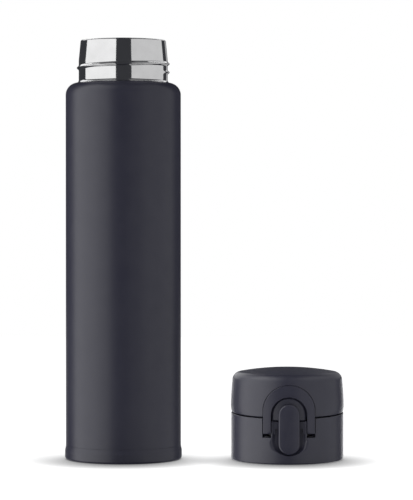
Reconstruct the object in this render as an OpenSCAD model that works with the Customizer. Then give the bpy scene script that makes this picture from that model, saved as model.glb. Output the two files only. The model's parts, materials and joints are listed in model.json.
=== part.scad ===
// Vacuum flask with a one-touch flip lid. Every size is in millimetres.
// The flask stands upright at the origin. Its lid is unscrewed and stands beside it,
// with the latch facing -Y.

/* [Flask body] */
// Outside diameter of the straight wall
body_d = 60; // [59.5:0.1:61]
// Height of the shoulder's top above the table
shoulder_h = 196.1; // [160:0.1:230]
// Radius that rounds the shoulder
shoulder_r = 6.3; // [6:0.1:6.4]
// Thickness of the outer shell's steel sheet
shell_t = 0.6; // [0.5:0.05:0.7]
// Thickness of the inner liner's steel sheet
liner_t = 0.5; // [0.4:0.05:0.6]
// Vacuum gap between the outer shell and the liner
vacuum_gap = 2.1; // [1.8:0.1:2.4]

/* [Base cup] */
// Height of the cup that covers the bottom
cup_h = 7.3; // [6:0.1:9]
// How far the cup stands out from the wall
cup_flare = 0.5; // [0.3:0.05:0.8]
// Radius of the cup's lower corner
cup_corner_r = 1.5; // [1:0.1:1.8]

/* [Neck] */
// Outside diameter of the neck between the thread turns
neck_d = 46.4; // [46.2:0.1:46.6]
// Height of the neck, from the shoulder's top to the rim
neck_h = 22.1; // [21.8:0.1:22.3]
// Inside diameter of the mouth
mouth_d = 42.8; // [42.6:0.1:43]

/* [Thread] */
// Rise of the thread in one turn
thread_pitch = 4.4; // [4.2:0.1:4.6]
// How far the rolled thread stands out from the neck
thread_h = 1; // [0.8:0.05:1]
// Width of the thread at the neck
thread_w = 2.2; // [1.8:0.1:2.4]

/* [Lid] */
// Distance from the flask's axis to the lid's axis, along X
lid_x = 85.5; // [70:0.5:120]
// Place of the lid's axis along Y
lid_y = -3; // [-20:0.5:20]
// Outside diameter of the lid base
lid_d = 58.4; // [58.3:0.05:58.6]
// Height of the closed lid at the top of its dome
lid_h = 48; // [47.8:0.1:49]
// Height of the seam between base and flip cap, on the lid's axis
seam_h = 24.8; // [24.6:0.1:25]
// Downward tilt of the seam towards the latch, in degrees
seam_tilt = 2.5; // [2.3:0.1:2.7]

/* [Latch] */
// Outside radius of the lock ring's arch
ring_r = 13.2; // [13:0.1:13.4]
// Width of each leg of the lock ring
ring_w = 3.9; // [3.7:0.1:4]
// Width of the push button
button_w = 10.8; // [10:0.1:11]
// Height of the push button's lower end
button_z0 = 5.2; // [5:0.1:6]
// Height of the push button's upper end
button_z1 = 30.7; // [30:0.1:31]

/* [Spout] */
// Inside diameter of the drinking spout
spout_d = 24; // [22:0.5:25]
// Height of the drinking spout's lip, from the lid's lower edge
spout_h = 37.8; // [37:0.1:37.9]

/* [Hidden] */
$fn = 96;
far = 80; // reach of the blocks that trim other shapes

// flask body
body_r = body_d / 2;
shell_in_r = body_r - shell_t;
liner_r = shell_in_r - vacuum_gap;
neck_r = neck_d / 2;
mouth_r = mouth_d / 2;
liner_neck_r = mouth_r + liner_t;
neck_fillet = 1.5;
shoulder_cx = body_r - shoulder_r;
shoulder_z = shoulder_h - shoulder_r;
shoulder_a = acos((neck_r + neck_fillet - shoulder_cx) / (shoulder_r + neck_fillet));
neck_z = shoulder_z + (shoulder_r + neck_fillet) * sin(shoulder_a);
rim_z = shoulder_h + neck_h;
neck_straight_z = rim_z - 10.6;
rim_r = neck_r - 0.95;
rim_round = 0.7;
weld_h = 3.6; // height over which the shell and the liner meet at the rim

// inner liner
liner_shoulder_r = 4;
liner_shoulder_z = shoulder_z - 3.3;
liner_shoulder_cx = liner_r - liner_shoulder_r;
liner_fillet = 1.6;
liner_a = acos((liner_neck_r + liner_fillet - liner_shoulder_cx) / (liner_shoulder_r + liner_fillet));
liner_neck_z = liner_shoulder_z + (liner_shoulder_r + liner_fillet) * sin(liner_a);
liner_joint_z = 18;
liner_bottom_z = 8;
liner_corner_r = 8;
foil_t = 0.12;
foil_z0 = 20;
foil_z1 = liner_shoulder_z - 1;

// bottom of the flask
cup_t = 0.6;
cup_bend_r = cup_corner_r - cup_t; // inside of the cup's lower corner
cup_in_r = body_r - 0.1; // the shell is drawn in by this much where the cup fits over it
shell_foot_r = cup_in_r - 0.05; // from there it tapers in to its foot
cup_r = body_r + cup_flare;
cup_wall_z = 5;
cup_foot_in = 25.5; // inner radius of the ring that the flask stands on
cup_recess = 1.2;
vacuum_disc_z = 4.5;
vacuum_disc_t = 0.6;
dimple_r = 4;
dimple_h = 0.9;
seal_hole_r = 0.8;
seal_bead_r = 3;
getter_x = 13;
getter_r = 4.5;
getter_h = 1.1;
clip_t = 0.3;

// thread
thread_z = shoulder_h + 5.5; // height of the ridge's middle where it crosses +X
thread_a0 = -30;
thread_a1 = 400;
thread_step = 10;
thread_fade = 30; // angle over which each end of the thread runs out

// lid base and insert, from the lid's lower edge
lid_r = lid_d / 2;
lid_wall = 2;
lid_in_r = lid_r - lid_wall;
lid_edge = 1;
seam_gap = 0.5;
insert_z0 = 0.8;
insert_step_z = 12.2;
insert_r = 24.65;
insert_neck_in = 23.5;
insert_neck_r = 24.5;
rim_seat_z = neck_h + 0.2; // underside of the gasket, just above the seated rim
gasket_t = 1.1;
insert_top_z = rim_seat_z + gasket_t;
insert_top_t = 1.4;
insert_thread_z = 5.5 - thread_pitch / 2;
insert_thread_h = 1.1;
insert_thread_w = 1.7;
ledge_z0 = 21.2;
ledge_z1 = 22.7;

// front of the lid base
scoop_r = 8.3;
scoop_floor = 26.4; // distance of the scoop's floor from the lid's axis
scoop_corner = 1.5;
scoop_z = 12.5;
front_boss = 25.7; // distance of the flat inner face behind the scoop
front_pad_in = 26.1;
front_pad_x = 14.8;
notch_x = 9.1;
notch_z = 22.1;
notch_back = 24.35;

// flip cap
cap_r = 29.4;
cap_side_z = 28.8; // height of the cap's widest point
cap_corner_z = 42.6;
cap_corner = 3;
cap_taper = 0.0177;
dome_flat_r = 1.5; // radius of the level spot at the top of the dome
cap_wall = 1.8;
cap_liner_r = 26;
cap_liner_t = 1.2;
cap_liner_z0 = 26.9;
cap_liner_top = 42.2;
seal_r = 15.5;
seal_gap = 0.25;
seal_plug_r = spout_d / 2 - 2;
seal_plug_h = 1.5;

// lock ring
ring_in_r = ring_r - ring_w;
ring_z = 27.2; // centre of the outer arch
ring_in_z = 25.1; // centre of the inner arch
ring_end_z = 15.6;
ring_t = 1.8;
ring_face_r = 45; // radius of its face, which is flatter than the cap round it
ring_gap = 0.2;
ring_groove_z = 13.7;
ring_axis_y = -25.4;
ring_axis_z = 17.4;
ring_knuckle_r = 1.8;
ring_knuckle_w = 2.9;
ring_foot_r = 3;
ring_pocket_r = 3.3;
trunnion_r = 0.9;
trunnion_l = 1.7;
ring_lug_x = 7; // inner side of the lug that holds a trunnion
ring_lug_half = 1.9;
lug_front = 27.2; // distance of the lugs' front from the lid's axis
lug_back = 24.6;

// nose of the flip cap, which fills the lock ring
nose_r = 28;
nose_gap = 0.4;
nose_z0 = notch_z + 0.3;
catch_x = 3;
catch_z0 = 26.3;
catch_z1 = 29.5;
catch_floor = 26.9;

// push button
button_r = button_w / 2;
button_face = 29.9; // radius of the button's face
button_back = 28.3; // distance of its flat back from the lid's axis
button_axis_y = -25.6;
button_axis_z = 20;
button_pin_r = 0.7;
button_pin_x = 7.7;
pin_lug_w = 4.1;
pin_lug_half = 1.8;
knuckle_x = 4.6;
knuckle_h = 2.8;
knuckle_back = 25.1;
window_x = 4.9;
window_z0 = 17.9;
window_back = 24.2;
hook_x = 2.7;
hook_z0 = 26.6;
hook_z1 = 28.2;
hook_tip = 27.5;
spring_z = 15;
spring_r = 1.6;
spring_wire_r = 0.2;
spring_well_r = 2.1;
spring_well_floor = 24.95;
spring_peg_r = 1;
spring_peg_h = 0.7;

// rear hinge
hinge_y = 30.2;
hinge_z = seam_h + hinge_y * tan(seam_tilt);
hinge_r = 3.2;
hinge_mid_x = 6;
hinge_end_x = 11;
hinge_side_gap = 0.3;
hinge_pin_r = 1;
hinge_pin_x = 10.8;
hinge_bore_r = 1.15;
hinge_cavity_r = 2.3;
hinge_cavity_x = 5;
hinge_spring_r = 1.65;
hinge_wire_r = 0.3;
hinge_relief_cap = 3.8;
hinge_relief_base = 3.5;
gusset_a = 31.5; // angle at which a gusset leaves its knuckle
gusset_h = 8; // height over which a gusset runs into the wall
gusset_in = lid_in_r - 1; // where the lid base's gussets end inside the round wall

// spout
spout_in = spout_d / 2;
spout_skirt_r = 20.5;
spout_skirt_in = 19.1;
spout_skirt_z = 15.5;
spout_floor_z = 26;
spout_floor_t = 1.5;
spout_lip = 0.9; // radius that rounds the lip
deck_z = insert_top_z + insert_top_t; // underside of the spout's deck
deck_t = 0.8;
deck_r = spout_skirt_r + 1;
deck_in_z = deck_z - 1.4;
spout_foot_r = spout_in + 4.2; // where the slope up to the spout's wall starts
gasket_lip_h = 3.4; // how far the gasket's sleeve reaches down into the mouth
pour_r = 6;
pour_y = -4;
vent_r = 1.6;
vent_y = 8.6;

steel = [0.78, 0.78, 0.79];
charcoal = [0.2, 0.2, 0.22];
dark_plastic = [0.13, 0.13, 0.14];
silicone = [0.55, 0.56, 0.57];

// ---------------------------------------------------------------- helpers

// Points of an arc about [x, y]
function arc(x, y, r, a0, a1, n) =
    [for (i = [0:n]) let (a = a0 + (a1 - a0) * i / n) [x + r * cos(a), y + r * sin(a)]];

// How much of its full height the thread has at angle a
function fade(a) = min(1, max(0, min(a - thread_a0, thread_a1 - a) / thread_fade));

// Outline of a thread ridge at angle a, from its root [r, z] outwards by h, which may be negative
function ridge(r, z, h, w, a) =
    let (up = sign(h), root = r - 0.3 * up, top = r - 0.2 * up + (h + 0.2 * up) * fade(a))
    [[root, z - up * w / 2], [top, z - up * w / 5], [top, z + up * w / 5], [root, z + up * w / 2]];

// Points [distance from the axis, z] up the cap's side, from its widest point to its top corner
function cap_side() =
    let (steps = 6, side_h = cap_corner_z - cap_side_z)
    [
        for (i = [0:steps])
            let (h = side_h * i / steps)
            [cap_r - cap_taper * pow(h, 1.5), cap_side_z + h]
    ];

// One tube or ridge: rings of points, each with the same count, closed at both ends
module loft(rings) {
    n = len(rings[0]);
    last = len(rings) - 1;
    points = [for (ring = rings) each ring];
    sides = [
        for (i = [0:last - 1], j = [0:n - 1])
            let (k = (j + 1) % n)
            each [
                [i * n + j, i * n + k, (i + 1) * n + k],
                [i * n + j, (i + 1) * n + k, (i + 1) * n + j]
            ]
    ];
    start = [[for (j = [n - 1:-1:0]) j]];
    end = [[for (j = [0:n - 1]) last * n + j]];
    polyhedron(points, concat(start, sides, end), convexity = 8);
}

// Thread ridge about Z, where z is the height of its middle on +X
module thread(r, z, h, w) {
    turns = [for (a = [thread_a0:thread_step:thread_a1]) a];
    loft([
        for (a = turns)
            [for (p = ridge(r, z + thread_pitch * a / 360, h, w, a)) [p[0] * cos(a), p[0] * sin(a), p[1]]]
    ]);
}

// Coil spring about Z, from its first to its last turn's centre
module coil(r, wire_r, length, turns, steps, sides) {
    total = turns * steps;
    loft([
        for (i = [0:total])
            let (a = 360 * i / steps, z = length * i / total)
            [
                for (j = [0:sides - 1])
                    let (b = -360 * j / sides, q = r + wire_r * cos(b))
                    [q * cos(a), q * sin(a), z + wire_r * sin(b)]
            ]
    ]);
}

// Round bar along X, centred
module bar_x(r, length) {
    rotate([0, 90, 0]) cylinder(r = r, h = length, center = true);
}

// Turns a drawing in X and Z into a block between two distances in front of the lid's axis
module facing(near, deep) {
    translate([0, -near, 0]) rotate([90, 0, 0]) linear_extrude(deep - near) children();
}

// Copies its children to the other side of X
module both_sides() {
    children();
    mirror([1, 0, 0]) children();
}

// Moves a lid part to where the lid stands
module at_lid() {
    translate([lid_x, lid_y, 0]) children();
}

// Space below the tilted seam, lowered by a drop
module below_seam(drop) {
    translate([0, 0, seam_h]) rotate([seam_tilt, 0, 0])
        translate([-far, -far, -2 * far - drop]) cube(2 * far);
}

// Space above the tilted seam, raised by a lift
module above_seam(lift) {
    translate([0, 0, seam_h]) rotate([seam_tilt, 0, 0])
        translate([-far, -far, lift]) cube(2 * far);
}

// ---------------------------------------------------------------- flask

module outer_shell() {
    outside = concat(
        [[shell_foot_r, cup_corner_r], [cup_in_r, cup_h], [body_r, cup_h]],
        arc(shoulder_cx, shoulder_z, shoulder_r, 0, shoulder_a, 10),
        arc(neck_r + neck_fillet, neck_z, neck_fillet, 180 + shoulder_a, 180, 6),
        [[neck_r, neck_straight_z]],
        arc(rim_r - rim_round, rim_z - rim_round, rim_round, 0, 60, 5),
        [[liner_neck_r, rim_z]]
    );
    inside = concat(
        [[liner_neck_r, rim_z - weld_h], [neck_r - shell_t, neck_straight_z]],
        arc(neck_r + neck_fillet, neck_z, neck_fillet + shell_t, 180, 180 + shoulder_a, 6),
        arc(shoulder_cx, shoulder_z, shoulder_r - shell_t, shoulder_a, 0, 10),
        [[shell_in_r, cup_corner_r]]
    );
    color(charcoal) union() {
        rotate_extrude() polygon(concat(outside, inside));
        thread(neck_r, thread_z, thread_h, thread_w);
    }
}

module inner_liner() {
    outside = concat(
        [[liner_r, liner_joint_z]],
        arc(liner_shoulder_cx, liner_shoulder_z, liner_shoulder_r, 0, liner_a, 8),
        arc(liner_neck_r + liner_fillet, liner_neck_z, liner_fillet, 180 + liner_a, 180, 5),
        [[liner_neck_r, rim_z]]
    );
    inside = concat(
        [[mouth_r, rim_z]],
        arc(liner_neck_r + liner_fillet, liner_neck_z, liner_fillet + liner_t, 180, 180 + liner_a, 5),
        arc(liner_shoulder_cx, liner_shoulder_z, liner_shoulder_r - liner_t, liner_a, 0, 8),
        [[liner_r - liner_t, liner_joint_z]]
    );
    color(steel) difference() {
        rotate_extrude() polygon(concat(outside, inside));
        translate([0, 0, liner_neck_z]) cylinder(r = mouth_r, h = 2 * neck_h);
    }
}

module liner_bottom() {
    corner_x = liner_r - liner_corner_r;
    corner_z = liner_bottom_z + liner_corner_r;
    color(steel) rotate_extrude() polygon(concat(
        [[0, liner_bottom_z]],
        arc(corner_x, corner_z, liner_corner_r, -90, 0, 8),
        [[liner_r, liner_joint_z], [liner_r - liner_t, liner_joint_z]],
        arc(corner_x, corner_z, liner_corner_r - liner_t, 0, -90, 8),
        [[0, liner_bottom_z + liner_t]]
    ));
}

// Pressed disc that closes the vacuum space, with a dimple around the pumping hole
module vacuum_disc() {
    z0 = vacuum_disc_z;
    z1 = vacuum_disc_z + vacuum_disc_t;
    color(steel) rotate_extrude() polygon([
        [seal_hole_r, z0 + dimple_h], [dimple_r - 1, z0 + dimple_h], [dimple_r, z0],
        [shell_in_r - vacuum_disc_t, z0], [shell_in_r - vacuum_disc_t, z0 - 2],
        [shell_in_r, z0 - 2], [shell_in_r, z1],
        [dimple_r + 0.3, z1], [dimple_r - 0.7, z1 + dimple_h], [seal_hole_r, z1 + dimple_h]
    ]);
}

// Solder glass that closes the pumping hole
module seal_bead() {
    color("saddlebrown") translate([0, 0, vacuum_disc_z]) union() {
        translate([0, 0, dimple_h - 0.7]) cylinder(r = seal_bead_r - 0.2, h = 0.7);
        cylinder(r = seal_hole_r, h = dimple_h + vacuum_disc_t);
    }
}

module base_cup() {
    corner_z = cup_corner_r;
    color(charcoal) rotate_extrude() polygon(concat(
        [[0, cup_recess], [cup_foot_in - cup_recess, cup_recess], [cup_foot_in, 0]],
        arc(cup_r - cup_corner_r, corner_z, cup_corner_r, -90, 0, 6),
        [[cup_r, cup_wall_z], [body_r + 0.05, cup_h], [cup_in_r, cup_h]],
        arc(shell_foot_r - cup_bend_r, cup_t + cup_bend_r, cup_bend_r, 0, -90, 5),
        [[cup_foot_in + 0.2, cup_t], [cup_foot_in - cup_recess + 0.2, cup_recess + cup_t]],
        [[0, cup_recess + cup_t]]
    ));
}

module getter() {
    color("dimgray") translate([getter_x, 0, vacuum_disc_z + vacuum_disc_t])
        cylinder(r = getter_r, h = getter_h);
}

// Strap that holds the getter on the vacuum disc
module getter_clip() {
    reach = getter_r + 2;
    color(steel) translate([getter_x, 0, vacuum_disc_z + vacuum_disc_t]) union() {
        translate([-getter_r - clip_t, -1.5, getter_h]) cube([2 * (getter_r + clip_t), 3, clip_t]);
        both_sides() {
            translate([getter_r, -1.5, 0]) cube([clip_t, 3, getter_h + clip_t]);
            translate([getter_r, -1.5, 0]) cube([reach - getter_r, 3, clip_t]);
        }
    }
}

module radiation_foil() {
    color("peru") translate([0, 0, foil_z0]) difference() {
        cylinder(r = liner_r + foil_t, h = foil_z1 - foil_z0);
        translate([0, 0, -1]) cylinder(r = liner_r, h = far + foil_z1 - foil_z0);
    }
}

// ---------------------------------------------------------------- lid base

// Scoop that the thumb reaches into: an upright channel with a round lower end
module scoop() {
    half = scoop_r - scoop_corner;
    corner_y = scoop_floor + scoop_corner;
    module section() {
        translate([0, scoop_floor]) square([half, far]);
        translate([0, corner_y]) square([scoop_r, far]);
        translate([half, corner_y]) circle(scoop_corner);
    }
    translate([0, 0, scoop_z]) mirror([0, 1, 0]) linear_extrude(far) both_sides() section();
    translate([0, 0, scoop_z]) rotate([90, 0, 0]) rotate_extrude() intersection() {
        section();
        square([far, 2 * far]);
    }
}

// Groove and pocket for one leg of the lock ring
module leg_pocket() {
    x0 = ring_in_r - ring_gap;
    w = ring_w + 2 * ring_gap;
    difference() {
        translate([x0, -far, ring_groove_z]) cube([w, far - 10, far]);
        cylinder(r = cap_r - ring_t - ring_gap, h = far);
    }
    translate([x0, -far, ring_groove_z]) cube([w, far + ring_axis_y, ring_axis_z - ring_groove_z]);
    translate([x0 + w / 2, ring_axis_y, ring_axis_z]) bar_x(ring_pocket_r, w);
}

// Lugs behind the scoop that hold the button pin and the lock ring's trunnions
module front_lugs() {
    both_sides() {
        facing(lug_back, lug_front) translate([window_x + 0.1, button_axis_z - pin_lug_half])
            square([pin_lug_w, 2 * pin_lug_half]);
        facing(lug_back - 0.8, lug_front) translate([ring_lug_x, ring_axis_z - ring_lug_half])
            square([ring_in_r - ring_gap - ring_lug_x, 2 * ring_lug_half]);
    }
    translate([0, -spring_well_floor + 0.4, spring_z]) rotate([90, 0, 0])
        cylinder(r = spring_well_r + 0.6, h = 2);
}

// Two rear knuckles, each on a short gusset
module base_knuckles() {
    length = hinge_end_x - hinge_mid_x - hinge_side_gap;
    both_sides() translate([hinge_mid_x + hinge_side_gap, 0, 0])
        rotate([90, 0, 90]) linear_extrude(length) union() {
            translate([hinge_y, hinge_z]) circle(hinge_r);
            polygon([
                [gusset_in, hinge_z - 1.2], [lid_in_r + 0.2, hinge_z], [hinge_y, hinge_z],
                [hinge_y + hinge_r * cos(gusset_a), hinge_z - hinge_r * sin(gusset_a)],
                [lid_r - 0.5, hinge_z - gusset_h], [gusset_in, hinge_z - gusset_h]
            ]);
        }
}

module lid_base() {
    color(charcoal) at_lid() difference() {
        union() {
            intersection() {
                rotate_extrude() polygon(concat(
                    [[lid_in_r, 0]], arc(lid_r - lid_edge, lid_edge, lid_edge, -90, 0, 6),
                    [[lid_r, lid_h], [lid_in_r, lid_h]]
                ));
                below_seam(seam_gap / 2);
            }
            translate([0, 0, ledge_z0]) difference() {
                cylinder(r = lid_in_r + 0.2, h = ledge_z1 - ledge_z0);
                translate([0, 0, -1]) cylinder(r = insert_neck_r, h = 5);
            }
            intersection() {
                translate([-front_pad_x, -far, insert_z0])
                    cube([2 * front_pad_x, far - front_boss, ledge_z1 - insert_z0]);
                cylinder(r = lid_in_r + 0.2, h = far);
            }
            intersection() {
                translate([-front_pad_x, -far, insert_step_z + 0.2])
                    cube([2 * front_pad_x, far - 10, ledge_z1 - insert_step_z - 0.2]);
                difference() {
                    cylinder(r = lid_in_r + 0.2, h = far);
                    cylinder(r = front_pad_in, h = far);
                }
            }
            front_lugs();
            base_knuckles();
        }
        scoop();
        both_sides() leg_pocket();
        translate([-notch_x, -far, notch_z]) cube([2 * notch_x, far - notch_back, far]);
        translate([-window_x, -far, window_z0]) cube([2 * window_x, far - window_back, far]);
        translate([0, -spring_well_floor, spring_z]) rotate([90, 0, 0]) cylinder(r = spring_well_r, h = 5);
        translate([0, button_axis_y, button_axis_z]) bar_x(button_pin_r, 2 * button_pin_x + 0.2);
        translate([0, ring_axis_y, ring_axis_z]) both_sides()
            translate([ring_in_r - trunnion_l / 2, 0, 0]) bar_x(trunnion_r + 0.1, trunnion_l + 0.4);
        translate([0, hinge_y, hinge_z]) {
            bar_x(hinge_relief_base, 2 * hinge_mid_x + hinge_side_gap);
            bar_x(hinge_pin_r, 2 * far);
        }
    }
}

// Inner part of the lid base, with the thread that screws onto the neck
module threaded_insert() {
    color(dark_plastic) at_lid() difference() {
        union() {
            rotate_extrude() polygon([
                [insert_r, insert_z0], [lid_in_r, insert_z0], [lid_in_r, insert_step_z],
                [insert_neck_r, insert_step_z], [insert_neck_r, insert_top_z + insert_top_t],
                [spout_skirt_r + 0.2, insert_top_z + insert_top_t], [spout_skirt_r + 0.2, insert_top_z],
                [insert_neck_in, insert_top_z], [insert_neck_in, insert_step_z - 0.6],
                [insert_r, insert_step_z - 1.3]
            ]);
            thread(insert_r, insert_thread_z, -insert_thread_h, insert_thread_w);
        }
        translate([-far, -far - front_boss, 0]) cube([2 * far, far, far]);
    }
}

// Drinking spout: a skirt that enters the neck, a deck and an upstand with a floor
module spout() {
    color(dark_plastic) at_lid() difference() {
        rotate_extrude() polygon(concat(
            [
                [spout_skirt_in, spout_skirt_z], [spout_skirt_r, spout_skirt_z],
                [spout_skirt_r, deck_z], [deck_r, deck_z], [deck_r, deck_z + deck_t],
                [spout_foot_r, deck_z + deck_t], [spout_foot_r - 1, deck_z + 3 * deck_t]
            ],
            arc(spout_in + spout_lip, spout_h - spout_lip, spout_lip, 0, 180, 8),
            [
                [spout_in, spout_floor_z + spout_floor_t], [0, spout_floor_z + spout_floor_t],
                [0, spout_floor_z], [spout_in + 1.2, spout_floor_z],
                [spout_in + 2.4, deck_in_z], [spout_skirt_in, deck_in_z]
            ]
        ));
        translate([0, pour_y, spout_floor_z - 1]) cylinder(r = pour_r, h = 4);
        translate([0, vent_y, spout_floor_z - 1]) cylinder(r = vent_r, h = 4);
    }
}

// Silicone ring round the spout's skirt, which seals on the rim and inside the mouth
module spout_gasket() {
    lip_z = rim_seat_z - gasket_lip_h;
    outer_r = insert_neck_in - 0.1;
    color(silicone) at_lid() rotate_extrude() polygon([
        [spout_skirt_r, lip_z], [spout_skirt_r + 0.5, lip_z], [spout_skirt_r + 0.75, lip_z + 0.6],
        [spout_skirt_r + 0.5, rim_seat_z], [outer_r, rim_seat_z], [outer_r, insert_top_z],
        [spout_skirt_r, insert_top_z]
    ]);
}

module hinge_pin() {
    color(steel) at_lid() translate([0, hinge_y, hinge_z]) bar_x(hinge_pin_r, 2 * hinge_pin_x);
}

module hinge_spring() {
    length = 2 * (hinge_cavity_x - hinge_wire_r) - 0.4;
    color(steel) at_lid() translate([-length / 2, hinge_y, hinge_z]) rotate([0, 90, 0])
        coil(hinge_spring_r, hinge_wire_r, length, 9, 14, 6);
}

module button_pin() {
    color(steel) at_lid() translate([0, button_axis_y, button_axis_z])
        bar_x(button_pin_r, 2 * button_pin_x);
}

module button_spring() {
    length = button_back - spring_well_floor - 2 * spring_wire_r - 0.02;
    color(steel) at_lid() translate([0, -spring_well_floor - spring_wire_r - 0.01, spring_z])
        rotate([90, 0, 0]) coil(spring_r, spring_wire_r, length, 4, 14, 6);
}

// ---------------------------------------------------------------- flip cap

// Solid of the cap's outside, made smaller by an inset at the side and a drop at the top
module cap_solid(inset, drop) {
    side = cap_side();
    corner_x = side[len(side) - 1][0] - cap_corner;
    corner_a = 79;
    edge_x = corner_x + cap_corner * cos(corner_a);
    sag = lid_h - cap_corner_z - cap_corner * sin(corner_a);
    dome_r = (pow(edge_x, 2) + pow(sag, 2)) / (2 * sag);
    dome_a = asin(edge_x / dome_r);
    outline = concat(
        [[cap_r, 0]], side, arc(corner_x, cap_corner_z, cap_corner, 10, corner_a, 6),
        arc(0, lid_h - dome_r, dome_r, 90 - dome_a * 0.9, 90 - dome_a * 0.15, 6)
    );
    shrunk = [for (p = outline) [p[0] - inset, max(0, p[1] - drop)]];
    rotate_extrude() polygon(concat([[0, 0]], shrunk, [[dome_flat_r, lid_h - drop], [0, lid_h - drop]]));
}

// Solid whose front has the cap's side view but is flatter from left to right
module ring_front() {
    back = ring_face_r - cap_r;
    side = [for (p = cap_side()) [p[0] + back, p[1]]];
    translate([0, back, 0]) rotate_extrude()
        polygon(concat([[0, 0], [ring_face_r, 0]], side, [[0, cap_corner_z]]));
}

// Outline of an upright arch: half width, height of the round top's centre and lower end
module arch(r, z, z0) {
    intersection() {
        translate([0, z]) circle(r);
        translate([-r, z]) square([2 * r, r]);
    }
    translate([-r, z0]) square([2 * r, z - z0]);
}

module cap_barrel() {
    rotate([90, 0, 90]) translate([0, 0, -hinge_mid_x]) linear_extrude(2 * hinge_mid_x) union() {
        translate([hinge_y, hinge_z]) circle(hinge_r);
        polygon([
            [cap_r - cap_wall, hinge_z + 0.4], [hinge_y, hinge_z],
            [hinge_y + hinge_r * cos(gusset_a), hinge_z + hinge_r * sin(gusset_a)],
            [cap_r - 0.5, hinge_z + gusset_h], [cap_r - cap_wall, hinge_z + gusset_h]
        ]);
    }
}

module flip_cap() {
    color(charcoal) at_lid() difference() {
        union() {
            difference() {
                intersection() {
                    cap_solid(0, 0);
                    above_seam(seam_gap / 2);
                }
                difference() {
                    cap_solid(cap_wall, cap_wall);
                    difference() {
                        translate([-front_pad_x, -far, 0]) cube([2 * front_pad_x, far - 10, cap_corner_z]);
                        cylinder(r = front_pad_in, h = far);
                    }
                }
                difference() {
                    facing(10, far) arch(ring_r + ring_gap, ring_z, 0);
                    cap_solid(ring_t + ring_gap, 0);
                }
                both_sides() translate([(hinge_mid_x + hinge_end_x) / 2 + 0.15, hinge_y, hinge_z])
                    bar_x(hinge_relief_cap, hinge_end_x - hinge_mid_x + hinge_side_gap);
            }
            intersection() {
                facing(10, far) arch(ring_in_r - nose_gap, ring_in_z, nose_z0);
                difference() {
                    cylinder(r = nose_r, h = far);
                    cylinder(r = front_pad_in, h = far);
                }
            }
            cap_barrel();
        }
        facing(catch_floor, far) translate([-catch_x, catch_z0]) square([2 * catch_x, catch_z1 - catch_z0]);
        translate([0, hinge_y, hinge_z]) {
            bar_x(hinge_bore_r, 4 * hinge_mid_x);
            bar_x(hinge_cavity_r, 2 * hinge_cavity_x);
        }
    }
}

// Inner cup of the flip cap, which carries the seal
module cap_liner() {
    wall_in = cap_liner_r - cap_liner_t;
    flange_r = cap_r - cap_wall;
    flange_top = cap_liner_z0 + cap_liner_t;
    top = cap_liner_top;
    color(dark_plastic) at_lid() difference() {
        rotate_extrude() polygon([
            [wall_in, cap_liner_z0], [flange_r, cap_liner_z0], [flange_r, flange_top],
            [cap_liner_r, flange_top], [cap_liner_r, top - 1], [cap_liner_r - 1, top], [0, top],
            [0, top - cap_liner_t], [wall_in - 1, top - cap_liner_t], [wall_in, top - cap_liner_t - 1]
        ]);
        difference() {
            translate([-front_pad_x - 0.2, -far, 0]) cube([2 * front_pad_x + 0.4, far, far]);
            cylinder(r = cap_liner_r, h = far);
        }
        translate([0, hinge_y, hinge_z]) bar_x(hinge_relief_cap + 0.2, 2 * hinge_end_x + 1);
    }
}

module cap_seal() {
    top = cap_liner_top - cap_liner_t;
    bottom = spout_h + seal_gap;
    color(silicone) at_lid() rotate_extrude() polygon([
        [0, top], [seal_r - 1, top], [seal_r, top - 1], [seal_r, bottom + 0.6], [seal_r - 0.6, bottom],
        [seal_plug_r + 0.3, bottom], [seal_plug_r, bottom - seal_plug_h + 0.5],
        [seal_plug_r - 0.5, bottom - seal_plug_h], [seal_plug_r - 2, bottom - seal_plug_h],
        [seal_plug_r - 2.6, bottom - 0.3], [0, bottom - 0.3]
    ]);
}

// ---------------------------------------------------------------- latch

module lock_ring() {
    color(charcoal) at_lid() union() {
        intersection() {
            facing(10, far) difference() {
                arch(ring_r, ring_z, ring_end_z);
                arch(ring_in_r, ring_in_z, 0);
            }
            difference() {
                ring_front();
                cap_solid(ring_t, 0);
            }
            union() {
                translate([-far, -far, ring_axis_z]) cube(2 * far);
                translate([0, ring_axis_y, ring_axis_z]) bar_x(ring_foot_r, far);
            }
        }
        translate([0, ring_axis_y, ring_axis_z]) both_sides() {
            translate([ring_in_r + ring_knuckle_w / 2, 0, 0]) bar_x(ring_knuckle_r, ring_knuckle_w);
            translate([ring_in_r - trunnion_l / 2 + 0.1, 0, 0]) bar_x(trunnion_r, trunnion_l + 0.2);
        }
    }
}

module push_button() {
    color(charcoal) at_lid() difference() {
        union() {
            intersection() {
                facing(button_back, far) union() {
                    for (z = [button_z0 + button_r, button_z1 - button_r])
                        translate([0, z]) circle(button_r);
                    translate([-button_r, button_z0 + button_r])
                        square([button_w, button_z1 - button_z0 - button_w]);
                }
                cylinder(r = button_face, h = far);
            }
            facing(knuckle_back, button_back + 0.2)
                translate([-knuckle_x, button_axis_z - knuckle_h / 2]) square([2 * knuckle_x, knuckle_h]);
            facing(hook_tip, button_back + 0.2)
                translate([-hook_x, hook_z0]) square([2 * hook_x, hook_z1 - hook_z0]);
            translate([0, -button_back + spring_peg_h, spring_z]) rotate([90, 0, 0])
                cylinder(r = spring_peg_r, h = spring_peg_h + 0.2);
        }
        translate([0, button_axis_y, button_axis_z]) bar_x(button_pin_r + 0.1, far);
    }
}

outer_shell();
inner_liner();
liner_bottom();
vacuum_disc();
base_cup();
getter();
getter_clip();
seal_bead();
radiation_foil();
lid_base();
threaded_insert();
spout();
spout_gasket();
hinge_pin();
hinge_spring();
button_pin();
button_spring();
flip_cap();
cap_liner();
cap_seal();
lock_ring();
push_button();
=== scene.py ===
import json
import math
from functools import reduce

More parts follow.
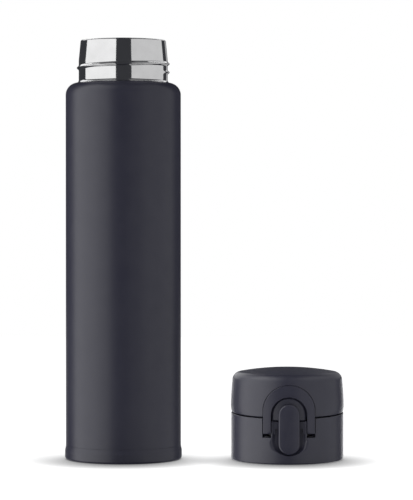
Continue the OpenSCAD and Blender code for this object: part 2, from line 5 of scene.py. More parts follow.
import bmesh
import bpy
import numpy as np
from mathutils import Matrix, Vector

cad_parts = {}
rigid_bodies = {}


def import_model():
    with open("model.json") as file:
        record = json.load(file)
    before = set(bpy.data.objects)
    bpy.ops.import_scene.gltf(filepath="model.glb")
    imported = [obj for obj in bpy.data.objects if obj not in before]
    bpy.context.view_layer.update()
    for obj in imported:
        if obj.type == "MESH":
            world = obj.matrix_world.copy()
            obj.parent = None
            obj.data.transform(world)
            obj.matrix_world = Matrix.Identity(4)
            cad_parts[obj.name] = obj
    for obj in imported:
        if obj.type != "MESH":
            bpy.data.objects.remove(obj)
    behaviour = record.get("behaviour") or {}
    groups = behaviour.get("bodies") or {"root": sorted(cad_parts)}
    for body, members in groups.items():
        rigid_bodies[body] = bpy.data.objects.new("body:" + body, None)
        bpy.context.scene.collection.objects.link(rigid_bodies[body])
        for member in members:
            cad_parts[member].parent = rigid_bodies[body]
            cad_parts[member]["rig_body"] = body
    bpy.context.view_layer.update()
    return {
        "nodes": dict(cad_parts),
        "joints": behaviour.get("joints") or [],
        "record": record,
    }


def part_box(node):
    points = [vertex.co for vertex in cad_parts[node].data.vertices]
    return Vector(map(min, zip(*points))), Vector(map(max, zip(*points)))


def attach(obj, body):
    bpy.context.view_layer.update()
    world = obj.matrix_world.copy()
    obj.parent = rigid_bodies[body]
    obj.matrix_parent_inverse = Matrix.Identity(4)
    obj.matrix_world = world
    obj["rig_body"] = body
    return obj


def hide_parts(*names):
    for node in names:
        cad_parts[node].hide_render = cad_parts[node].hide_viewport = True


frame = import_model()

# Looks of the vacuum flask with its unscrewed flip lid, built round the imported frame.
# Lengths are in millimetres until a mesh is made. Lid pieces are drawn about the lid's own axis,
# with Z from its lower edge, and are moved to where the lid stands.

MM = 0.001
SLOT_OF = {part["node"]: part["material_slot"] for part in frame["record"]["subparts"]}
BODY_OF = {node: piece["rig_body"] for node, piece in frame["nodes"].items()}


# ---------------------------------------------------------------- sizes from the frame

def box_mm(node):
    """Lowest and highest corner of a CAD node, in millimetres."""
    low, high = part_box(node)
    return np.array(low) / MM, np.array(high) / MM


def half_width(node):
    """Half of a CAD node's width along X, in millimetres."""
    low, high = box_mm(node)
    return (high[0] - low[0]) / 2


def pivot(joint):
    """Y and Z of a lid joint's axis, from the lid's own axis and lower edge."""
    place = next(j["pos_m"] for j in frame["joints"] if j["name"] == joint)
    return place[1] / MM - LID_AXIS[1], place[2] / MM


LID_AXIS = sum(box_mm("cap_seal")) / 2 * [1, 1, 0]

# flask
BODY_R = half_width("outer_shell")
SHELL_FOOT_Z = box_mm("outer_shell")[0][2]
RIM_Z = box_mm("outer_shell")[1][2]
CUP_R = half_width("base_cup")
CUP_TOP_Z = box_mm("base_cup")[1][2]
LINER_R = half_width("inner_liner")
LINER_JOINT_Z = box_mm("inner_liner")[0][2]
SHELL_T = 0.6
LINER_T = 0.5
NECK_R = 23.2
NECK_H = 22.1
NECK_TAPER_H = 10.6  # the neck narrows over this height below the rim
RIM_R = 22.25
RIM_ROUND = 0.7
MOUTH_R = 21.4
MOUTH_JOINT_H = 3.6  # shell and liner touch over this height below the rim
SHOULDER_R = 6.3
NECK_FILLET = 1.5
PAINT_T = 0.06
THREAD_Z = 5.5  # height of the thread above the shoulder, where it crosses +X
THREAD_PITCH = 4.4
THREAD_H = 1.0
THREAD_HALF_W = 1.35
THREAD_SHARPNESS = 1.15
THREAD_START = math.radians(-30)
THREAD_END = math.radians(400)
THREAD_FADE = math.radians(30)
CUP_CORNER_R = 1.5
CUP_FLARE_Z = 4.4  # above this the cup's wall curves in to the shell
CUP_FOOT_IN = 25.5
CUP_RECESS = 1.2
CUP_T = 0.6
LINER_SHOULDER_R = 4.0
LINER_SHOULDER_DROP = 3.3
LINER_FILLET = 1.6

# lid base
FRONT_Y = -10.0  # what is only at the lid's front starts here
LID_R = half_width("lid_base")
LID_WALL = 2.0
LID_EDGE_R = 1.0
SEAM_Z = 24.8
SEAM_TILT = math.radians(2.5)
SEAM_GAP = 0.5
SEAM_EDGE_R = 0.35
LEDGE = (21.2, 22.7)
LEDGE_IN_R = 24.5
PAD_X = 14.8
PAD_IN_R = 26.1
BOSS_Y = -25.7
BOSS_FOOT_Z = 0.8
PAD_FOOT_Z = 12.4
SCOOP_R = 8.3
SCOOP_Y = -26.4
SCOOP_Z = 12.8
SCOOP_CORNER = 1.5
SCOOP_EDGE = (0.3, 2.2, 2.2, 0.5)  # radius that rounds the scoop's edge, from its foot upwards
SCOOP_EDGE_Z = (5.0, 8.0, 11.0, 14.5)
NOTCH_X = 9.1
NOTCH_Z = 22.1
NOTCH_Y = -24.35
WINDOW_X = 4.9
WINDOW_Z = 17.9
WINDOW_Y = -24.2
PIN_LUG_W = 4.1
PIN_LUG_Y = (-27.2, -24.6)
PIN_LUG_Z = (18.2, 21.8)
PIN_END_X = 7.8
PIN_R = 0.7
RING_LUG_X = 7.0
RING_LUG_Y = (-27.2, -23.8)
RING_LUG_Z = (15.5, 19.3)
TRUNNION_HOLE_R = 1.0
TRUNNION_HOLE_X = (7.4, 9.5)
POCKET_R = 3.3  # room for the ring's feet to turn in

# flip cap
CAP_R = half_width("flip_cap")
CAP_TOP = box_mm("flip_cap")[1][2]
CAP_SIDE_Z = 28.8  # height of the cap's widest point
CAP_TAPER = 0.0177
CAP_TUCK = 0.03  # how strongly the side draws in again below its widest point
CAP_WALL = 1.8
CAP_CORNER_R = 3.0
DOME_R = 140.0
CAP_ROOM_Z = 42.6
NOSE_EDGE_R = 1.0
CATCH_X = 3.0
CATCH_Y = -26.9
CATCH_Z = (26.3, 29.5)

# latch
RING_R = half_width("lock_ring")
RING_W = 3.9
RING_IN_R = RING_R - RING_W
RING_Z = box_mm("lock_ring")[1][2] - RING_R
RING_IN_Z = 25.1
RING_END_Z = 15.6
RING_T = 1.8
RING_GAP = 0.2
RING_LINE = 0.12  # gap round the outside of the ring
RING_FOOT_R = 3.0
AXLE_R = 1.8
AXLE_W = 2.9
TRUNNION_R = 0.9
TRUNNION_X = 7.6
RING_Y, RING_AXIS_Z = pivot("lock_ring_swing")
GROOVE_Z = 13.7
RING_FACE_R = 45.0  # radius of the ring's face, which is flatter than the cap's
NOSE_R = 28.0
NOSE_HALF = RING_IN_R - 0.4
NOSE_Z = NOTCH_Z + 0.3
BUTTON_HALF = half_width("push_button")
BUTTON_Z = (box_mm("push_button")[0][2], box_mm("push_button")[1][2])
BUTTON_FACE = 29.9
BUTTON_BACK = -28.3
BUTTON_Y, BUTTON_AXIS_Z = pivot("button_press")
BUTTON_EDGE_R = 0.75
BUTTON_BORE_R = 0.8
BUTTON_LUG_X = 4.6
BUTTON_LUG_Y = (-28.5, -25.1)
BUTTON_LUG_HALF_H = 1.4
HOOK_X = 2.7
HOOK_Y = (-28.6, -27.5)
HOOK_Z = (26.6, 28.2)
PEG_R = 1.0
PEG_Y = (-28.6, -27.6)
WELL_Z = 15.0  # height of the button spring
WELL_R = 2.1
WELL_Y = -24.95
WELL_WALL = 0.6
WELL_WALL_Y = (-26.6, -24.6)

# rear hinge
HINGE_Y, HINGE_Z = pivot("flip_cap_hinge")
HINGE_R = 3.2
HINGE_MID_X = 6.0
HINGE_END_X = 11.0
HINGE_GAP = 0.3
HINGE_PIN_R = 1.0
HINGE_BORE_R = 1.15
SPRING_ROOM_R = 2.3
SPRING_ROOM_X = 5.0
GUSSET_A = math.radians(31.5)
GUSSET_H = 8.0
KNUCKLE_EDGE_R = 0.35
KNUCKLE_BLEND_R = 0.7

HOLE_EDGE_R = 0.12  # edge of the holes in the lid base and the cap


# ---------------------------------------------------------------- meshes

def new_mesh(name, points, faces):
    """A Blender mesh from arrays of points and of faces that all have the same number of corners."""
    mesh = bpy.data.meshes.new(name)
    sides = faces.shape[1]
    mesh.vertices.add(len(points))
    mesh.vertices.foreach_set("co", np.ascontiguousarray(points, np.float32).ravel())
    mesh.loops.add(faces.size)
    mesh.loops.foreach_set("vertex_index", faces.astype(np.int32).ravel())
    mesh.polygons.add(len(faces))
    mesh.polygons.foreach_set("loop_start", np.arange(0, faces.size, sides, dtype=np.int32))
    mesh.update(calc_edges=True)
    mesh.validate()
    return mesh


def place(name, mesh, node, slot, material):
    """Puts a mesh in the scene as a piece that stands for a CAD node and rides on its body."""
    mesh.name = name
    piece = bpy.data.objects.new(name, mesh)
    bpy.context.scene.collection.objects.link(piece)
    mesh.materials.append(material)
    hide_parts(node)
    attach(piece, BODY_OF[node])


# ---------------------------------------------------------------- turned pieces

TURNS = 192
CREASE = math.radians(34)


def arc(x, z, r, start, end, steps=10):
    """Points of an arc about [x, z], with its angles in degrees."""
    turn = np.radians(np.linspace(start, end, steps + 1))
    return [(x + r * math.cos(a), z + r * math.sin(a)) for a in turn]


def run(start, end, edge=0.4):
    """Points of a straight stretch, with a support point close to each end."""
    a, b = np.array(start, float), np.array(end, float)
    step = (b - a) / np.linalg.norm(b - a) * edge
    return [tuple(a), tuple(a + step), tuple(b - step), tuple(b)]


def lathe(profile, turns=TURNS, swell=None):
    """Mesh of a closed outline of points [r, z] turned about an upright axis."""
    r, z = np.array(profile, float).T
    angle = np.linspace(0, 2 * math.pi, turns, endpoint=False)[:, None]
    radius = r + (swell(angle, r, z) if swell else 0 * angle)
    points = np.stack([radius * np.cos(angle), radius * np.sin(angle), z + 0 * angle], axis=2)
    here = np.arange(turns * len(r)).reshape(turns, len(r))
    beside = np.roll(here, -1, axis=0)
    faces = np.stack([here, beside, np.roll(beside, -1, 1), np.roll(here, -1, 1)], axis=2)
    return welded(points.reshape(-1, 3) * MM, faces.reshape(-1, 4))


def welded(points, faces):
    """Smooth mesh with double points joined and its faces turned outwards."""
    mesh = new_mesh("turned", points, faces)
    shape = bmesh.new()
    shape.from_mesh(mesh)
    bmesh.ops.remove_doubles(shape, verts=shape.verts, dist=1e-3 * MM)
    bmesh.ops.recalc_face_normals(shape, faces=shape.faces)
    shape.to_mesh(mesh)
    shape.free()
    mesh.shade_smooth()
    mesh.set_sharp_from_angle(angle=CREASE)
    return mesh


def shoulder_angle():
    """Angle in degrees at which the shoulder's round meets the fillet at the neck's foot."""
    across = NECK_R + NECK_FILLET - BODY_R + SHOULDER_R
    return math.degrees(math.acos(across / (SHOULDER_R + NECK_FILLET)))


def neck_fillet_z():
    """Height of the centre of the fillet at the neck's foot."""
    rise = (SHOULDER_R + NECK_FILLET) * math.sin(math.radians(shoulder_angle()))
    return RIM_Z - NECK_H - SHOULDER_R + rise


def painted_shell():
    """Outer shell up to the top of its shoulder, with the paint's edge rounded over."""
    cx, cz, a = BODY_R - SHOULDER_R, RIM_Z - NECK_H - SHOULDER_R, shoulder_angle()
    inner_r = SHOULDER_R - SHELL_T
    foot_r = BODY_R - 0.1
    top = cz + SHOULDER_R * math.sin(math.radians(a))
    outside = [(foot_r - 0.05, SHELL_FOOT_Z), (foot_r, CUP_TOP_Z - 0.05), (foot_r + 0.04, CUP_TOP_Z)]
    outside += run((BODY_R, CUP_TOP_Z + 0.1), (BODY_R, cz))
    outside += arc(cx, cz, SHOULDER_R, 0, a - 0.8, 28)[1:]
    outside.append((cx + (SHOULDER_R - PAINT_T) * math.cos(math.radians(a)), top - PAINT_T))
    inside = arc(cx, cz, inner_r, a, 0, 20)
    inside += run((cx + inner_r, cz - 0.1), (BODY_R - SHELL_T, SHELL_FOOT_Z))
    return lathe(outside + inside)


def thread_bead(angle, r, z):
    """How far the rolled thread swells the neck's outer wall at each angle and height."""
    swell = np.zeros(np.broadcast(angle, z).shape)
    for turn in (-1, 0, 1):
        along = angle + 2 * math.pi * turn
        middle = RIM_Z - NECK_H + THREAD_Z + THREAD_PITCH * along / (2 * math.pi)
        off = np.clip(np.abs(z - middle) / THREAD_HALF_W, 0, 1)
        ends = np.clip(np.minimum(along - THREAD_START, THREAD_END - along) / THREAD_FADE, 0, 1)
        crest = (0.5 + 0.5 * np.cos(math.pi * off)) ** THREAD_SHARPNESS
        swell = np.maximum(swell, THREAD_H * crest * ends * ends * (3 - 2 * ends))
    return swell * (r > NECK_R - SHELL_T / 2)


def bare_neck():
    """Polished neck from the paint's edge to the rim, with its thread."""
    cx, cz, a = BODY_R - SHOULDER_R, RIM_Z - NECK_H - SHOULDER_R, shoulder_angle()
    foot_z, straight_z = neck_fillet_z(), RIM_Z - NECK_TAPER_H
    fillet_x = NECK_R + NECK_FILLET
    steel_r = SHOULDER_R - PAINT_T
    outside = [(cx + steel_r * math.cos(math.radians(a)), cz + steel_r * math.sin(math.radians(a)))]
    outside += arc(fillet_x, foot_z, NECK_FILLET, 180 + a, 180, 12)
    outside += [(NECK_R, z) for z in np.linspace(foot_z, straight_z, 80)[1:]]
    rim = arc(RIM_R - RIM_ROUND, RIM_Z - RIM_ROUND, RIM_ROUND, 0, 90, 12)
    outside += [(NECK_R - 0.01, straight_z + 0.15)] + run((NECK_R - 0.03, straight_z + 0.4), rim[0])[1:]
    outside += rim[1:] + [(MOUTH_R + LINER_T, RIM_Z)]
    inside = [(MOUTH_R + LINER_T, RIM_Z - MOUTH_JOINT_H), (NECK_R - SHELL_T, straight_z)]
    inside += arc(fillet_x, foot_z, NECK_FILLET + SHELL_T, 180, 180 + a, 8)
    return lathe(outside + inside, turns=360, swell=thread_bead)


def inner_liner():
    """Liner from its joint near the bottom up to the rolled mouth."""
    wall_r, neck_r = LINER_R - LINER_T, MOUTH_R + LINER_T
    cx, cz = LINER_R - LINER_SHOULDER_R, RIM_Z - NECK_H - SHOULDER_R - LINER_SHOULDER_DROP
    reach = LINER_SHOULDER_R + LINER_FILLET
    a = math.degrees(math.acos((neck_r + LINER_FILLET - cx) / reach))
    foot_z = cz + reach * math.sin(math.radians(a))
    fillet_x = neck_r + LINER_FILLET
    outside = run((LINER_R, LINER_JOINT_Z), (LINER_R, cz))
    outside += arc(cx, cz, LINER_SHOULDER_R, 0, a, 14)[1:]
    outside += arc(fillet_x, foot_z, LINER_FILLET, 180 + a, 180, 8)[1:]
    outside += run((neck_r, foot_z), (neck_r, RIM_Z))[1:]
    lip = LINER_T * 0.8
    inside = arc(MOUTH_R + lip, RIM_Z - lip, lip, 90, 180, 8)
    inside += run((MOUTH_R, RIM_Z - lip), (MOUTH_R, foot_z))[1:]
    inside += arc(fillet_x, foot_z, LINER_FILLET + LINER_T, 180, 180 + a, 10)[1:]
    inside += arc(cx, cz, LINER_SHOULDER_R - LINER_T, a, 0, 14)[1:]
    inside += run((wall_r, cz), (wall_r, LINER_JOINT_Z))[1:]
    return lathe(outside + inside)


def base_cup():
    """Cup over the bottom, which swells out from the wall in one soft curve."""
    rise = np.linspace(0, 1, 13)[1:]
    ease = rise * rise * (3 - 2 * rise)
    top_r = BODY_R + 0.04
    flare = [(CUP_R + (top_r - CUP_R) * e, CUP_FLARE_Z + (CUP_TOP_Z - CUP_FLARE_Z) * t)
             for e, t in zip(ease, rise)]
    corner_x = CUP_R - CUP_CORNER_R
    outside = arc(corner_x, CUP_CORNER_R, CUP_CORNER_R, -90, 0, 12)
    outside += run((CUP_R, CUP_CORNER_R), (CUP_R, CUP_FLARE_Z))[1:] + flare
    bend = CUP_CORNER_R - CUP_T
    inner_r = BODY_R - 0.13
    inside = [(inner_r + 0.05, CUP_TOP_Z)] + arc(inner_r - bend, CUP_T + bend, bend, 0, -90, 8)
    inside += [(CUP_FOOT_IN + 0.2, CUP_T), (CUP_FOOT_IN - 1, CUP_RECESS + CUP_T), (0, CUP_RECESS + CUP_T)]
    under = [(0, CUP_RECESS), (CUP_FOOT_IN - 1.6, CUP_RECESS), (CUP_FOOT_IN - 1.2, CUP_RECESS - 0.1)]
    under += [(CUP_FOOT_IN - 0.3, 0.25), (CUP_FOOT_IN, 0.05), (CUP_FOOT_IN + 0.4, 0)]
    return lathe(under + outside + inside)


# ---------------------------------------------------------------- moulded pieces
# Each is a field: its distance from the surface, below zero inside. Fields are joined, cut and
# kept with rounded edges, and a mesh is then drawn on the surface where the field is zero. The last
# value of each join, keep and cut is the radius of that edge.

def join(a, b, r):
    """Both shapes, with a fillet of radius r in the corner between them."""
    return np.maximum(r, np.minimum(a, b)) - np.hypot(np.maximum(r - a, 0), np.maximum(r - b, 0))


def keep(a, b, r):
    """What is in both shapes, with an edge of radius r."""
    return -join(-a, -b, r)


def cut(a, b, r):
    """The first shape less the second, with an edge of radius r."""
    return keep(a, -b, r)


def within(*fields):
    """What is in all the shapes, with sharp edges."""
    return reduce(np.maximum, fields)


def union(*fields):
    """All the shapes, with sharp corners."""
    return reduce(np.minimum, fields)


def span(value, low, high):
    """Slab in which a value lies between two limits."""
    return np.maximum(low - value, value - high)


def rod(y, z, centre_y, centre_z, r):
    """Round bar along X."""
    return np.hypot(y - centre_y, z - centre_z) - r


def above_seam(y, z):
    """Distance above the tilted seam between lid base and cap."""
    return (z - SEAM_Z) * math.cos(SEAM_TILT) - y * math.sin(SEAM_TILT)


def cap_side(r, z, tuck=CAP_TUCK):
    """Distance outside the cap's side."""
    rise = np.maximum(z - CAP_SIDE_Z, 0)
    drop = np.maximum(CAP_SIDE_Z - z, 0)
    return r - CAP_R + CAP_TAPER * rise ** 1.5 + tuck * drop ** 2


def cap_dome(r, z):
    """Distance above the cap's domed top."""
    return np.hypot(r, z - CAP_TOP + DOME_R) - DOME_R


def arch(x, z, r, centre_z):
    """Upright arch of half width r, whose sides run down without end."""
    return np.where(z > centre_z, np.hypot(x, z - centre_z), x) - r


def scoop(x, y, z):
    """Upright channel for the thumb, with a round lower end."""
    u = np.where(z > SCOOP_Z, x, np.hypot(x, z - SCOOP_Z))
    return keep(u - SCOOP_R, y - SCOOP_Y, SCOOP_CORNER)


def leg_groove(x, y, z, r):
    """Groove and pocket in the lid base for one leg of the lock ring."""
    slot = span(x, RING_IN_R - RING_GAP, RING_R + RING_GAP)
    groove = within(GROOVE_Z - z, CAP_R - RING_T - RING_GAP - r, y - FRONT_Y)
    block = within(span(z, GROOVE_Z, RING_AXIS_Z), y - RING_Y)
    return within(slot, union(groove, block, rod(y, z, RING_Y, RING_AXIS_Z, POCKET_R)))


def knuckle(y, z, way):
    """Section of a hinge knuckle with its gusset, which points down (-1) or up (1)."""
    rise = way * (z - HINGE_Z)
    ay, az = HINGE_Y + HINGE_R * math.cos(GUSSET_A), HINGE_R * math.sin(GUSSET_A)
    lean = Vector((GUSSET_H - az, ay - LID_R + 0.5)).normalized()
    slant = (y - ay) * lean[0] + (rise - az) * lean[1]
    wedge = (y - HINGE_Y) * math.sin(GUSSET_A) - rise * math.cos(GUSSET_A)
    gusset = within(slant, wedge, -rise, rise - GUSSET_H, LID_R - LID_WALL - 1 - y)
    return union(rod(y, z, HINGE_Y, HINGE_Z, HINGE_R), gusset)


def front_lugs(x, y, z):
    """Lugs behind the scoop that hold the button pin and the ring's trunnions."""
    start = WINDOW_X + 0.1
    pin = within(span(x, start, start + PIN_LUG_W), span(y, *PIN_LUG_Y), span(z, *PIN_LUG_Z))
    ring = within(span(x, RING_LUG_X, RING_IN_R - RING_GAP), span(y, *RING_LUG_Y), span(z, *RING_LUG_Z))
    well = within(np.hypot(x, z - WELL_Z) - WELL_R - WELL_WALL, span(y, *WELL_WALL_Y))
    return union(pin, ring, well)


def lid_base(x, y, z):
    """Lower half of the lid, with its scoop, ring grooves, hinge ears and pin holes."""
    x = np.abs(x)
    r = np.hypot(x, y)
    mid_r = LID_R - LID_WALL + 0.2
    outside = keep(r - LID_R, -z, LID_EDGE_R)
    outside = keep(outside, above_seam(y, z) + SEAM_GAP / 2, SEAM_EDGE_R)
    edge_r = np.interp(z, SCOOP_EDGE_Z, SCOOP_EDGE)
    outside = cut(outside, scoop(x, y, z), edge_r)
    shell = cut(outside, r - LID_R + LID_WALL, 0.3)
    ledge = within(span(r, LEDGE_IN_R, mid_r), span(z, *LEDGE))
    boss = within(x - PAD_X, y - BOSS_Y, r - mid_r, span(z, BOSS_FOOT_Z, LEDGE[1]))
    pad = within(x - PAD_X, y - FRONT_Y, PAD_IN_R - r, r - mid_r, span(z, PAD_FOOT_Z, LEDGE[1]))
    inner = cut(union(ledge, boss, pad), scoop(x, y, z), 0.1)
    shell = union(shell, inner)
    ears = keep(knuckle(y, z, -1), span(x, HINGE_MID_X + HINGE_GAP, HINGE_END_X), KNUCKLE_EDGE_R)
    shell = union(join(shell, ears, KNUCKLE_BLEND_R), front_lugs(x, y, z))
    shell = cut(shell, leg_groove(x, y, z, r), 0.28)
    shell = cut(shell, within(x - NOTCH_X, y - NOTCH_Y, NOTCH_Z - z), 0.25)
    holes = union(
        within(x - WINDOW_X, y - WINDOW_Y, WINDOW_Z - z),
        within(np.hypot(x, z - WELL_Z) - WELL_R, y - WELL_Y),
        within(rod(y, z, BUTTON_Y, BUTTON_AXIS_Z, PIN_R), x - PIN_END_X),
        within(rod(y, z, RING_Y, RING_AXIS_Z, TRUNNION_HOLE_R), span(x, *TRUNNION_HOLE_X)),
        within(rod(y, z, HINGE_Y, HINGE_Z, HINGE_R + HINGE_GAP), x - HINGE_MID_X - HINGE_GAP / 2),
        rod(y, z, HINGE_Y, HINGE_Z, HINGE_PIN_R),
    )
    return cut(shell, holes, HOLE_EDGE_R)


def flip_cap(x, y, z):
    """Upper half of the lid, with the ring's slot, the nose inside the ring and the hinge barrel."""
    x = np.abs(x)
    r = np.hypot(x, y)
    side, dome = cap_side(r, z), cap_dome(r, z)
    solid = keep(side, dome, CAP_CORNER_R)
    solid = keep(solid, SEAM_GAP / 2 - above_seam(y, z), 0.5)
    room = keep(side + CAP_WALL, dome + CAP_WALL, 1.5)
    room = cut(room, within(x - PAD_X, PAD_IN_R - r, y - FRONT_Y, z - CAP_ROOM_Z), 0.3)
    shell = cut(solid, room, 0.3)
    seat = -cap_side(r, z, 0) - RING_T - RING_GAP
    slot = within(arch(x, z, RING_R + RING_LINE, RING_Z), seat, y - FRONT_Y)
    shell = cut(shell, slot, 0.15)
    ear_room = rod(y, z, HINGE_Y, HINGE_Z, HINGE_R + 2 * HINGE_GAP)
    ears = within(ear_room, span(x, HINGE_MID_X, HINGE_END_X + HINGE_GAP))
    shell = cut(shell, ears, 0.2)
    nose = keep(arch(x, z, NOSE_HALF, RING_IN_Z), r - NOSE_R, NOSE_EDGE_R)
    nose = within(keep(nose, NOSE_Z - z, 0.5), PAD_IN_R - r, y - FRONT_Y)
    barrel = keep(knuckle(y, z, 1), x - HINGE_MID_X, KNUCKLE_EDGE_R)
    shell = join(union(shell, nose), barrel, KNUCKLE_BLEND_R)
    holes = union(
        within(x - CATCH_X, y - CATCH_Y, span(z, *CATCH_Z)),
        rod(y, z, HINGE_Y, HINGE_Z, HINGE_BORE_R),
        within(rod(y, z, HINGE_Y, HINGE_Z, SPRING_ROOM_R), x - SPRING_ROOM_X),
    )
    return cut(shell, holes, HOLE_EDGE_R)


def lock_ring(x, y, z):
    """Upturned U, with a knuckle and a trunnion inside each foot."""
    x = np.abs(x)
    r = np.hypot(x, y)
    back = RING_FACE_R - CAP_R
    face = cap_side(np.hypot(x, y - back) - back, z, 0)
    bow = keep(arch(x, z, RING_R, RING_Z), -arch(x, z, RING_IN_R, RING_IN_Z), 0.3)
    bow = keep(bow, within(face, -cap_side(r, z, 0) - RING_T, y - FRONT_Y), 0.22)
    bow = keep(bow, RING_END_Z - z, 0.4)
    foot = union(RING_AXIS_Z - z, rod(y, z, RING_Y, RING_AXIS_Z, RING_FOOT_R))
    bow = keep(bow, foot, 0.15)
    axle = within(rod(y, z, RING_Y, RING_AXIS_Z, AXLE_R), span(x, RING_IN_R, RING_IN_R + AXLE_W))
    trunnion = rod(y, z, RING_Y, RING_AXIS_Z, TRUNNION_R)
    return union(join(bow, axle, 0.2), within(trunnion, span(x, TRUNNION_X, RING_IN_R + 0.2)))


def push_button(x, y, z):
    """Upright pill, with its pin lug, its hook and the spring's peg behind it."""
    x = np.abs(x)
    r = np.hypot(x, y)
    low, high = BUTTON_Z[0] + BUTTON_HALF, BUTTON_Z[1] - BUTTON_HALF
    pill = np.hypot(x, z - np.clip(z, low, high)) - BUTTON_HALF
    plate = keep(pill, r - BUTTON_FACE, BUTTON_EDGE_R)
    plate = keep(plate, y - BUTTON_BACK, 0.2)
    lug_z = (BUTTON_AXIS_Z - BUTTON_LUG_HALF_H, BUTTON_AXIS_Z + BUTTON_LUG_HALF_H)
    lug = within(x - BUTTON_LUG_X, span(y, *BUTTON_LUG_Y), span(z, *lug_z))
    hook = within(x - HOOK_X, span(y, *HOOK_Y), span(z, *HOOK_Z))
    peg = within(np.hypot(x, z - WELL_Z) - PEG_R, span(y, *PEG_Y))
    solid = join(plate, union(lug, hook, peg), 0.25)
    return cut(solid, rod(y, z, BUTTON_Y, BUTTON_AXIS_Z, BUTTON_BORE_R), 0.1)


# ---------------------------------------------------------------- meshes of fields

def sampled(field, low, high, step):
    """Field values on a grid that is a mirror image about X = 0, and the grid's first point."""
    x = np.arange(step / 2, high[0] + 2 * step, step, dtype=np.float32)
    y = np.arange(low[1] - 2 * step, high[1] + 2 * step, step, dtype=np.float32)
    z = np.arange(low[2] - 2 * step, high[2] + 2 * step, step, dtype=np.float32)
    values = field(x[:, None, None], y[None, :, None], z[None, None, :])
    return np.concatenate([values[::-1], values]), np.array([-x[-1], y[0], z[0]], float)


def net_points(values, cells):
    """One point in each cell: the middle of the places where the cell's edges cross the surface."""
    total = np.zeros((len(cells), 3))
    count = np.zeros((len(cells), 1))
    for axis in range(3):
        ahead = np.eye(3, dtype=int)[axis]
        beside, over = np.eye(3, dtype=int)[[axis - 2, axis - 1]]
        for corner in (0 * beside, beside, over, beside + over):
            start = cells + corner
            v0, v1 = values[tuple(start.T)], values[tuple((start + ahead).T)]
            crosses = (v0 < 0) != (v1 < 0)
            part = np.where(crosses, v0 / np.where(crosses, v0 - v1, 1), 0)[:, None]
            total += np.where(crosses[:, None], start + part * ahead, 0)
            count += crosses[:, None]
    return total / count


def net_faces(inside, number):
    """Four-sided faces across each grid edge that crosses the surface, turned outwards."""
    faces = []
    for axis in range(3):
        ahead = np.eye(3, dtype=int)[axis]
        beside, over = np.eye(3, dtype=int)[[axis - 2, axis - 1]]
        here = inside[tuple(slice(0, n - a) for n, a in zip(inside.shape, ahead))]
        there = inside[tuple(slice(a, None) for a in ahead)]
        edges = np.argwhere(here != there)
        corners = [edges - beside - over, edges - over, edges, edges - beside]
        quads = np.stack([number[tuple(c.T)] for c in corners], axis=1)
        outward = here[tuple(edges.T)]
        faces.append(np.where(outward[:, None], quads, quads[:, ::-1]))
    return np.concatenate(faces)


def slopes(field, points, h=1e-3):
    """Gradient of a field at points."""
    rows = []
    for axis in range(3):
        shift = np.eye(3)[axis] * h
        rows.append((field(*(points + shift).T) - field(*(points - shift).T)) / (2 * h))
    return np.stack(rows, axis=1)


def settled(field, points, most, rounds=3):
    """The points moved onto the surface, each by no more than a limit in each round."""
    for _ in range(rounds):
        slope = slopes(field, points)
        size = np.maximum((slope ** 2).sum(1), 0.05)
        move = np.clip(field(*points.T) / size, -most, most)
        points = points - slope * move[:, None]
    return points


def thinned(points, faces, share):
    """The same surface with only a share of its triangles."""
    rough = bpy.data.objects.new("rough", new_mesh("rough", points, faces))
    bpy.context.scene.collection.objects.link(rough)
    fewer = rough.modifiers.new("fewer", "DECIMATE")
    fewer.ratio = share
    fewer.use_collapse_triangulate = True
    result = rough.evaluated_get(bpy.context.evaluated_depsgraph_get()).to_mesh()
    result.calc_loop_triangles()
    points = np.empty(len(result.vertices) * 3, np.float32)
    result.vertices.foreach_get("co", points)
    corners = np.empty(len(result.loop_triangles) * 3, np.int32)
    result.loop_triangles.foreach_get("vertices", corners)
    bpy.data.objects.remove(rough)
    return points.reshape(-1, 3).astype(float), corners.reshape(-1, 3)


def moulded(field, node, step, share):
    """Mesh of a lid piece's field, as large as its CAD node."""
    low, high = box_mm(node)
    values, first = sampled(field, low - LID_AXIS, high - LID_AXIS, step)
    inside = values < 0
    lower = [slice(0, -1), slice(1, None)]
    corners = [inside[a, b, c] for a in lower for b in lower for c in lower]
    mixed = reduce(np.logical_or, corners) & ~reduce(np.logical_and, corners)
    number = np.full(inside.shape, -1)
    cells = np.argwhere(mixed)
    number[tuple(cells.T)] = np.arange(len(cells))
    points = first + step * net_points(values, cells)
    points = settled(field, points, step / 2)
    points, faces = thinned(points, net_faces(inside, number), share)
    points = settled(field, points, step / 2)
    slope = slopes(field, points)
    normals = slope / np.maximum(np.linalg.norm(slope, axis=1, keepdims=True), 1e-6)
    mesh = new_mesh("moulded", (points + LID_AXIS) * MM, faces)
    mesh.shade_smooth()
    if len(mesh.vertices) == len(normals):
        mesh.normals_split_custom_set_from_vertices(normals.tolist())
    return mesh


# ---------------------------------------------------------------- materials

def principled(name, **values):
    """A new material and its shader, with values set on the shader's own sockets."""
    material = bpy.data.materials.new(name)
    material.use_nodes = True
    shader = material.node_tree.nodes["Principled BSDF"]
    for socket, value in values.items():
        shader.inputs[socket.replace("_", " ")].default_value = value
    return material


def noise(material, size_mm, stretch=(1, 1, 1), detail=2.0):
    """Noise in the object's own space, whose lumps are about size_mm across."""
    nodes, links = material.node_tree.nodes, material.node_tree.links
    where = nodes.new("ShaderNodeTexCoord")
    mapping = nodes.new("ShaderNodeMapping")
    mapping.inputs["Scale"].default_value = Vector(stretch) / (size_mm * MM)
    texture = nodes.new("ShaderNodeTexNoise")
    texture.inputs["Scale"].default_value = 1.0
    texture.inputs["Detail"].default_value = detail
    links.new(where.outputs["Object"], mapping.inputs["Vector"])
    links.new(mapping.outputs["Vector"], texture.inputs["Vector"])
    return texture.outputs["Fac"]


NOISE_LOW, NOISE_HIGH = 0.3, 0.7  # most of a noise lies between these


